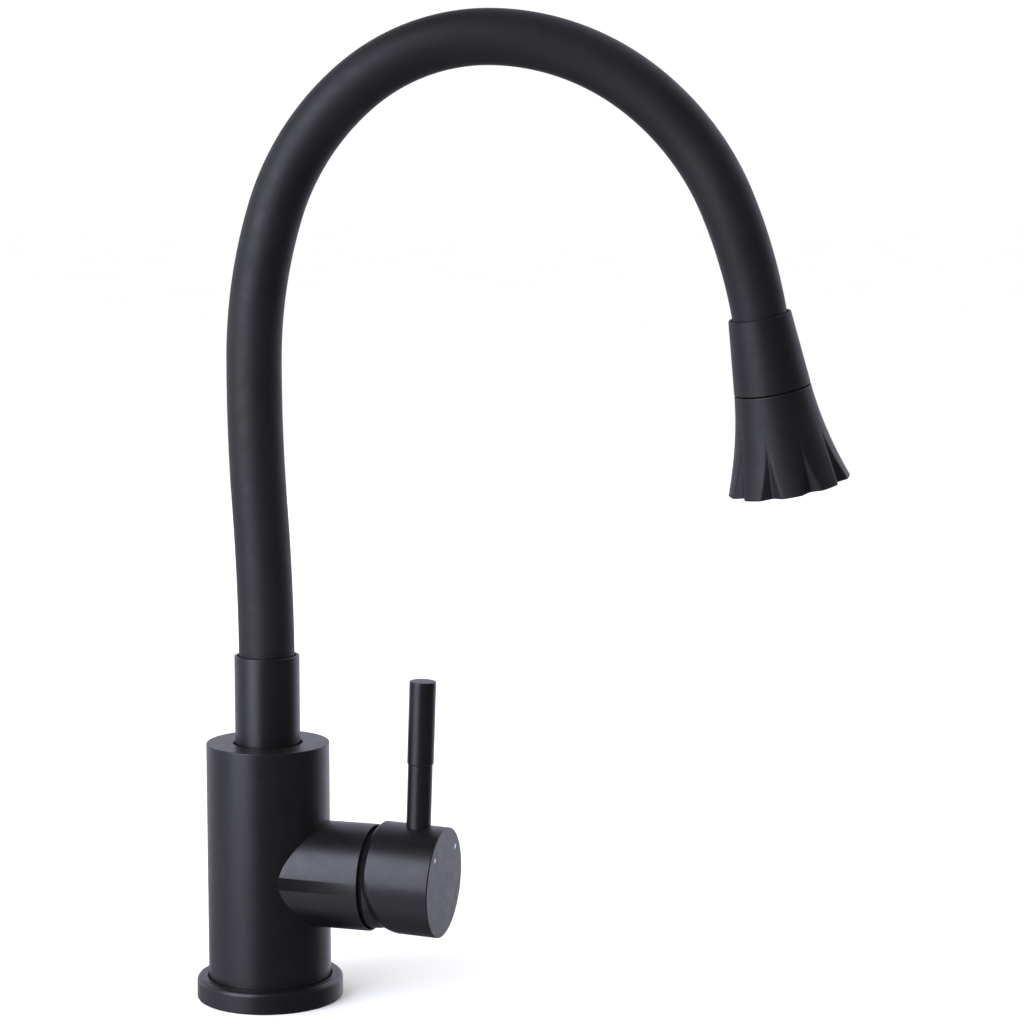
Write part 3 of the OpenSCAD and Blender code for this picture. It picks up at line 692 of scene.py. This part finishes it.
class Neck:
    """The neck's centre line: one arc a link, each starting in the direction in which the last one ended."""

    def __init__(self):
        upright_end = SIDE_BEND + leaned(-1) @ (FERRULE_TOP - SIDE_BEND)
        knots = [UP * NECK_LOW] + [pivot(bend) for bend in BENDS] + [upright_end]
        self.arcs = []
        self.starts = [0.0]
        heading = 0.0
        for start, end in zip(knots, knots[1:]):
            chord = end - start
            turn = 2 * (math.atan2(chord.dot(OUTWARD), chord.z) - heading)
            radius = chord.length / 2 / math.sin(turn / 2)
            self.arcs.append((start, heading, radius))
            self.starts.append(self.starts[-1] + radius * turn)
            heading += turn
        self.length = self.starts[-1]

    def place(self, s):
        """The point, the way ahead and the way sideways at distance s, which may run past the neck's ends."""
        link = max(i for i in range(len(self.arcs)) if i == 0 or self.starts[i] <= s)
        start, heading, radius = self.arcs[link]
        turned = heading + (s - self.starts[link]) / radius
        out = radius * (math.cos(heading) - math.cos(turned))
        rise = radius * (math.sin(turned) - math.sin(heading))
        point = start + OUTWARD * out + UP * rise
        lean = leaned(smooth_step((s - self.starts[-2]) / (2 * LEAN_REACH) + 0.5))
        point = SIDE_BEND + lean @ (point - SIDE_BEND)
        return point, lean @ (OUTWARD * math.sin(turned) + UP * math.cos(turned)), lean @ SIDEWAYS

    def middle(self, link):
        return (self.starts[link] + self.starts[link + 1]) / 2


NECK = Neck()


def sleeve_radius(s):
    """The sleeve fits the hose a little tighter along the upright stretch and again near the head."""
    share = s / NECK.length
    waist = smooth_step(share / 0.25) * (1 - smooth_step((share - 0.5) / 0.25))
    end = smooth_step((share - 0.82) / 0.18)
    return SLEEVE_R - SLEEVE_WAIST * max(waist, 0.8 * end)


def hose_radius(s):
    """The hose is ridged along its free length and plain where its ends are crimped."""
    if s < MM or s > NECK.length - MM:
        return HOSE_R
    return HOSE_R + HOSE_RIDGE * (0.5 + 0.5 * math.cos(2 * math.pi * s / HOSE_PITCH)) + 0.1 * MM


def neck_tube(name, s0, s1, spacing, outer, bore, sides):
    """A tube along the neck from s0 to s1, with flat ends."""
    count = max(2, round((s1 - s0) / spacing))
    stations = [s0 + (s1 - s0) * i / count for i in range(count + 1)]
    places = [NECK.place(s) for s in stations]
    columns = []
    for turn in round_turns(sides):
        outside, inside = [], []
        for s, (point, ahead, side) in zip(stations, places):
            out = side.cross(ahead) * math.cos(turn) + side * math.sin(turn)
            outside.append(point + out * outer(s))
            inside.append(point + out * bore)
        columns.append(outside + inside[::-1])
    return solid(name, columns)


def make_neck():
    """Each stretch runs from the middle of one link to the middle of the next, across their joint."""
    last = len(BENDS) - 1
    for i, bend in enumerate(BENDS):
        first_s = 0 if i == 0 else NECK.middle(i)
        last_s = NECK.length if i == last else NECK.middle(i + 1)
        bend_s = NECK.starts[i + 1]
        hinge, ahead, _ = NECK.place(bend_s)
        sleeve = neck_tube(f"silicone_sleeve_{i + 1}", first_s, last_s + (SLEEVE_TUCK if i == last else 0),
                           1.5 * MM, sleeve_radius, SLEEVE_BORE_R, 112)
        hose = neck_tube(f"inner_hose_{i + 1}", first_s - (HOSE_TUCK if i == 0 else 0),
                         last_s + (HOSE_TUCK if i == last else 0), HOSE_PITCH / 6, hose_radius,
                         HOSE_BORE_R, 40)
        for tube, look, kind in ((sleeve, "silicone", "neck_sleeve"), (hose, "steel", "neck_core")):
            shade(tube, weighted=False)
            dress(tube, look, [f"{kind}_{i + 1}", f"{kind}_{i + 2}"])
            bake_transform(tube)


def make_collar():
    cup_floor = COLLAR_H - CUP_DEPTH
    collar = lathe("swivel_collar", [
        (SHANK_FIT_R, COLLAR_LOW, 0), (COLLAR_R, COLLAR_LOW, 0.3 * MM), (COLLAR_R, COLLAR_H, 0.4 * MM),
        (CUP_R, COLLAR_H, 0.4 * MM), (CUP_R, cup_floor, 0.3 * MM), (SHANK_FIT_R, cup_floor, 0),
    ], sides=200)
    shade(collar)
    dress(collar, "black_finish", ["spout_collar"], "spout")


# ------------------------------------------------------------------ spray head


def head_place(along):
    """The head's frame at a distance along its axis from the ferrule's top."""
    side = leaned(1) @ SIDEWAYS
    turned = Matrix((side.cross(HEAD_AXIS), side, HEAD_AXIS)).transposed().to_4x4()
    return Matrix.Translation(FERRULE_TOP + HEAD_AXIS * along) @ turned


def make_ferrule():
    """A cone with a socket for the sleeve, a fit round the connector's shank, and a chamber below it."""
    socket_end, fit_end, chamber_r = 8 * MM, 24 * MM, 13.5 * MM
    ferrule = lathe("head_cone", [
        (SHANK_FIT_R, socket_end, 0), (CUFF_R, socket_end, 0.3 * MM), (CUFF_R, 0, 0.4 * MM),
        (FERRULE_TOP_R, 0, 0.4 * MM), (SEAM_R, FERRULE_LEN, 0.35 * MM), (chamber_r, FERRULE_LEN, 0.3 * MM),
        (chamber_r, fit_end, 0), (SHANK_FIT_R, fit_end, 0),
    ], place=head_place(0), sides=200)
    shade(ferrule)
    dress(ferrule, "black_plastic", ["head_ferrule"], "head")


def flare(t):
    """The skirt's outer radius over a petal's middle, at a distance t below the seam."""
    return SEAM_R + FLARE_SLOPE * t + FLARE_CURVE * t * t


def valley_angle(i):
    return PETAL_TURN + math.radians(-90 + 360 / PETALS * (i + 0.5))


def petal_radius(t, turn):
    """The skirt's outer radius: a flare cut by a V-shaped valley between each two petals."""
    pitch = 2 * math.pi / PETALS
    off = (turn - valley_angle(0) + pitch / 2) % pitch - pitch / 2
    off = math.sqrt(off ** 2 + math.radians(0.5) ** 2)
    floor = flare(VALLEY_FROM) + VALLEY_SLOPE * (t - VALLEY_FROM)
    groove = floor * VALLEY_SPREAD / (VALLEY_SPREAD * math.cos(off) - math.sin(off))
    return soft_min(flare(t), groove, 0.45 * MM)


def make_nozzle():
    sides, rows = PETALS * 44, 76
    rim_round = 0.7 * MM
    inner = outline([
        (PLATE_R + 0.9 * MM, NOZZLE_LEN), (PLATE_R + 0.6 * MM, NOZZLE_LEN, 0.2 * MM),
        (PLATE_R + 0.1 * MM, NOZZLE_LEN - MM, 0.3 * MM), (PLATE_R + 0.1 * MM, MAT_AT),
        (PLATE_R - 1.1 * MM, MAT_AT), (SEAM_R - 2.2 * MM, 2.6 * MM, 0.5 * MM),
        (SPINDLE_R + 3 * MM, 2.6 * MM), (SPINDLE_R + 3 * MM, 13 * MM, 0.4 * MM),
        (SPINDLE_R, 13 * MM, 0.2 * MM), (SPINDLE_R, 0, 0.2 * MM), (SEAM_R - MM, 0),
    ], False)
    heights = [0.35 * MM + (NOZZLE_LEN - rim_round - 0.35 * MM) * i / rows for i in range(rows + 1)]
    quarter = [math.pi / 2 * i / 5 for i in range(1, 6)]
    columns = []
    for turn in round_turns(sides):
        rim = petal_radius(NOZZLE_LEN, turn)
        points = [(SEAM_R - 0.35 * MM, 0), (SEAM_R - 0.1 * MM, 0.1 * MM)]
        points += [(petal_radius(t, turn), t) for t in heights]
        for a in quarter:
            points.append((rim - rim_round * (1 - math.cos(a)), NOZZLE_LEN - rim_round * (1 - math.sin(a))))
        points += [tuple(p) for p in inner]
        columns.append([(r * math.cos(turn), r * math.sin(turn), t) for r, t in points])
    skirt = solid("petal_skirt", columns, True, head_place(NOZZLE_TOP))
    shade(skirt)
    dress(skirt, "black_plastic", ["petal_nozzle"], "nozzle")


def nub_places():
    """Where the spray nubs stand: a row behind each petal, in three rings."""
    for i in range(PETALS):
        for j, radius in enumerate(NUB_RINGS):
            turn = valley_angle(i) + math.pi / PETALS * (1 if j % 2 == 0 else 2)
            yield Matrix.Translation((radius * math.cos(turn), radius * math.sin(turn), 0))


def make_spray_face():
    plate_place = head_place(NOZZLE_TOP + MAT_AT + MAT_H)
    plate = lathe("spray_disc", [
        (AERATOR_R + 0.1 * MM, 0, 0), (PLATE_R, 0, 0), (PLATE_R, PLATE_H, 0.3 * MM),
        (AERATOR_R + 0.1 * MM, PLATE_H, 0.25 * MM),
    ], place=plate_place, sides=200)
    holes = [rod("hole", NUB_R + 0.1 * MM, -MM, PLATE_H + MM, plate_place @ at, 32) for at in nub_places()]
    combine(plate, join("holes", holes))
    shade(plate)
    dress(plate, "black_plastic", ["spray_plate"], "nozzle")

    mat_place = head_place(NOZZLE_TOP + MAT_AT)
    tip = MAT_H + PLATE_H + 1.2 * MM
    inner, outer = AERATOR_R + 0.1 * MM, PLATE_R - 0.05 * MM
    parts = [lathe("mat", [(inner, 0), (outer, 0), (outer, MAT_H), (inner, MAT_H)], place=mat_place)]
    for at in nub_places():
        parts.append(lathe("nub", [
            (0, MAT_H - 0.2 * MM), (NUB_R, MAT_H - 0.2 * MM), (NUB_R, MAT_H + PLATE_H, 0.3 * MM),
            (0.72 * NUB_R, tip, 0.15 * MM), (0.3 * MM, tip, 0.08 * MM), (0.3 * MM, MAT_H + 0.5 * MM),
            (0, MAT_H + 0.5 * MM),
        ], False, mat_place @ at, 32))
    mat = join("nub_mat", parts)
    shade(mat)
    dress(mat, "silicone", ["nozzle_mat"], "nozzle")


def make_aerator():
    place = head_place(NOZZLE_TOP + MAT_AT - 8 * MM)
    height = 8 * MM + MAT_H + PLATE_H + 0.8 * MM
    cup = lathe("aerator_cup", [
        (4 * MM, 0), (AERATOR_R, 0, 0.3 * MM), (AERATOR_R, height, 0.35 * MM),
        (AERATOR_R - 1.6 * MM, height, 0.35 * MM), (AERATOR_R - 1.6 * MM, 2 * MM), (4 * MM, 2 * MM),
    ], place=place, sides=128)
    for turn in (0, math.pi / 2):
        notch = Matrix.Rotation(turn, 4, "Z")
        lowest, highest = (-10 * MM, -MM, height - 0.9 * MM), (10 * MM, MM, height + MM)
        combine(cup, block("notch", lowest, highest, place @ notch))
    shade(cup)
    dress(cup, "black_plastic", ["aerator_housing"], "nozzle")

    radius, wire, pitch = AERATOR_R - 1.65 * MM, 0.2 * MM, 0.95 * MM
    place = head_place(NOZZLE_TOP + MAT_AT)
    parts = [lathe("band", [
        (radius - 0.9 * MM, 0, 0.2 * MM), (radius, 0, 0.2 * MM), (radius, 2.4 * MM, 0.2 * MM),
        (radius - 0.9 * MM, 2.4 * MM, 0.2 * MM),
    ], place=place, sides=96)]
    reach = int((radius - 0.3 * MM) / pitch)
    for layer, turn in enumerate((0, math.pi / 2)):
        height = 1.5 * MM + layer * 1.5 * wire
        for i in range(-reach, reach + 1):
            half = math.sqrt((radius - 0.3 * MM) ** 2 - (i * pitch) ** 2)
            lie = Matrix.Rotation(turn, 4, "Z") @ Matrix.Translation((0, i * pitch, height))
            lie = place @ lie @ Matrix.Rotation(math.pi / 2, 4, "Y")
            parts.append(rod("wire", wire, -half, half, lie, 10))
    screen = join("aerator_mesh", parts)
    shade(screen)
    dress(screen, "steel", ["aerator_screen"], "nozzle")


# ------------------------------------------------------------------ parts kept from the frame


def paint_kept_parts():
    """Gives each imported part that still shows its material, and a fine bevel where it has plain edges."""
    slots = {part["node"]: part["material_slot"] for part in frame["record"]["subparts"]}
    for name, part in frame["nodes"].items():
        part.data.materials.clear()
        part.data.materials.append(LOOKS[slots[name]])
        if part.hide_render:
            continue
        for face in part.data.polygons:
            face.use_smooth = True
        bevel = part.modifiers.new("edges", "BEVEL")
        bevel.width = 0.12 * MM
        bevel.segments = 2
        bevel.limit_method = "ANGLE"
        bevel.angle_limit = math.radians(40)
        bevel.use_clamp_overlap = True
        part.modifiers.new("flats", "WEIGHTED_NORMAL")


# ------------------------------------------------------------------ studio


VIEW_TURN = math.radians(17)
VIEW_PITCH = math.radians(-6.8)
WHITE_ROOM = 1.04
DARK_ROOM = 0.08
COOL = (0.95, 0.96, 1.16)


def toward(turn, rise):
    """The direction to a place in the studio, from degrees clockwise of the camera and degrees up."""
    angle = VIEW_TURN - math.pi / 2 - math.radians(turn)
    level = Vector((math.cos(angle), math.sin(angle), 0))
    return level * math.cos(math.radians(rise)) + UP * math.sin(math.radians(rise))


def make_camera():
    data = bpy.data.cameras.new("camera")
    data.lens = 94.92
    data.sensor_width = 36
    camera = bpy.data.objects.new("camera", data)
    camera.location = (0.4146, -1.0131, 0.3314)
    camera.rotation_euler = (math.pi / 2 + VIEW_PITCH, 0, VIEW_TURN)
    bpy.context.scene.collection.objects.link(camera)
    bpy.context.scene.camera = camera


def make_panel(name, turn, rise, distance, width, height, radiance):
    """A soft panel of light that faces the middle of the object and doesn't show itself."""
    data = bpy.data.lights.new(name, "AREA")
    data.shape = "RECTANGLE"
    data.size = width
    data.size_y = height
    data.energy = radiance * math.pi * width * height
    data.color = COOL
    panel = bpy.data.objects.new(name, data)
    direction = toward(turn, rise)
    panel.location = UP * 0.2 + direction * distance
    panel.rotation_euler = direction.to_track_quat("Z", "Y").to_euler()
    panel.visible_camera = False
    bpy.context.scene.collection.objects.link(panel)


def make_studio():
    floor = to_object("floor", bmesh.new())
    made = bmesh.new()
    bmesh.ops.create_grid(made, x_segments=1, y_segments=1, size=30)
    made.to_mesh(floor.data)
    made.free()
    s = Shader("pale_floor")
    speck = s.blend(s.span(s.noise(3), 0.3, 0.7, 0, 1), (0.95, 0.95, 0.95), (0.97, 0.97, 0.97))
    floor.data.materials.append(s.set(Base_Color=speck, Roughness=0.9, Specular_IOR_Level=0.0))
    floor.visible_glossy = False

    make_world()
    make_panel("key_panel", 47, 20, 1.4, 1.07, 1.7, 4.8)
    make_panel("back_panel", 180, 12, 1.8, 8.0, 2.6, 0.6)
    bpy.context.scene.view_settings.view_transform = "Standard"


# Soft areas that only reflections see: turn and rise in degrees, degrees to where each starts to fade
# and to where it ends, and brightness
GLOWS = (
    (95, 5, 15, 50, 0.6),
    (55, -35, 8, 34, 0.6),
    (42, -12, 6, 26, 0.35),
    (-140, -10, 10, 42, 0.35),
    (180, 10, 40, 75, 0.15),
    (-120, 40, 10, 45, 0.85),
    (0, -80, 15, 50, 0.2),
)


def make_world():
    """An even white studio, in which reflections see a dark room with a few soft glows."""
    world = bpy.data.worlds.new("studio")
    bpy.context.scene.world = world
    world.use_nodes = True
    nodes, links = world.node_tree.nodes, world.node_tree.links
    background = nodes["Background"]
    glossy = nodes.new("ShaderNodeLightPath").outputs["Is Glossy Ray"]
    tint = nodes.new("ShaderNodeVectorMath")
    tint.operation = "MULTIPLY_ADD"
    links.new(glossy, tint.inputs[0])
    tint.inputs[1].default_value = [c - 1 for c in COOL]
    tint.inputs[2].default_value = (1, 1, 1)
    links.new(tint.outputs["Vector"], background.inputs["Color"])
    ahead = nodes.new("ShaderNodeTexCoord").outputs["Generated"]
    total = None
    for turn, rise, full, end, brightness in GLOWS:
        dot = nodes.new("ShaderNodeVectorMath")
        dot.operation = "DOT_PRODUCT"
        dot.inputs[1].default_value = toward(turn, rise)
        links.new(ahead, dot.inputs[0])
        glow = nodes.new("ShaderNodeMapRange")
        glow.interpolation_type = "SMOOTHSTEP"
        glow.inputs["From Min"].default_value = math.cos(math.radians(end))
        glow.inputs["From Max"].default_value = math.cos(math.radians(full))
        glow.inputs["To Max"].default_value = brightness
        links.new(dot.outputs["Value"], glow.inputs["Value"])
        add = nodes.new("ShaderNodeMath")
        add.inputs[0].default_value = DARK_ROOM
        if total:
            links.new(total, add.inputs[0])
        links.new(glow.outputs["Result"], add.inputs[1])
        total = add.outputs["Value"]
    level = nodes.new("ShaderNodeMix")
    level.inputs["A"].default_value = WHITE_ROOM
    links.new(glossy, level.inputs["Factor"])
    links.new(total, level.inputs["B"])
    links.new(level.outputs["Result"], background.inputs["Strength"])


# ------------------------------------------------------------------ build


make_camera()
make_flange()
make_body()
make_collar()
make_hub()
make_handle_seal()
make_marks()
make_lever()
make_neck()
make_ferrule()
make_nozzle()
make_spray_face()
make_aerator()
paint_kept_parts()
make_studio()
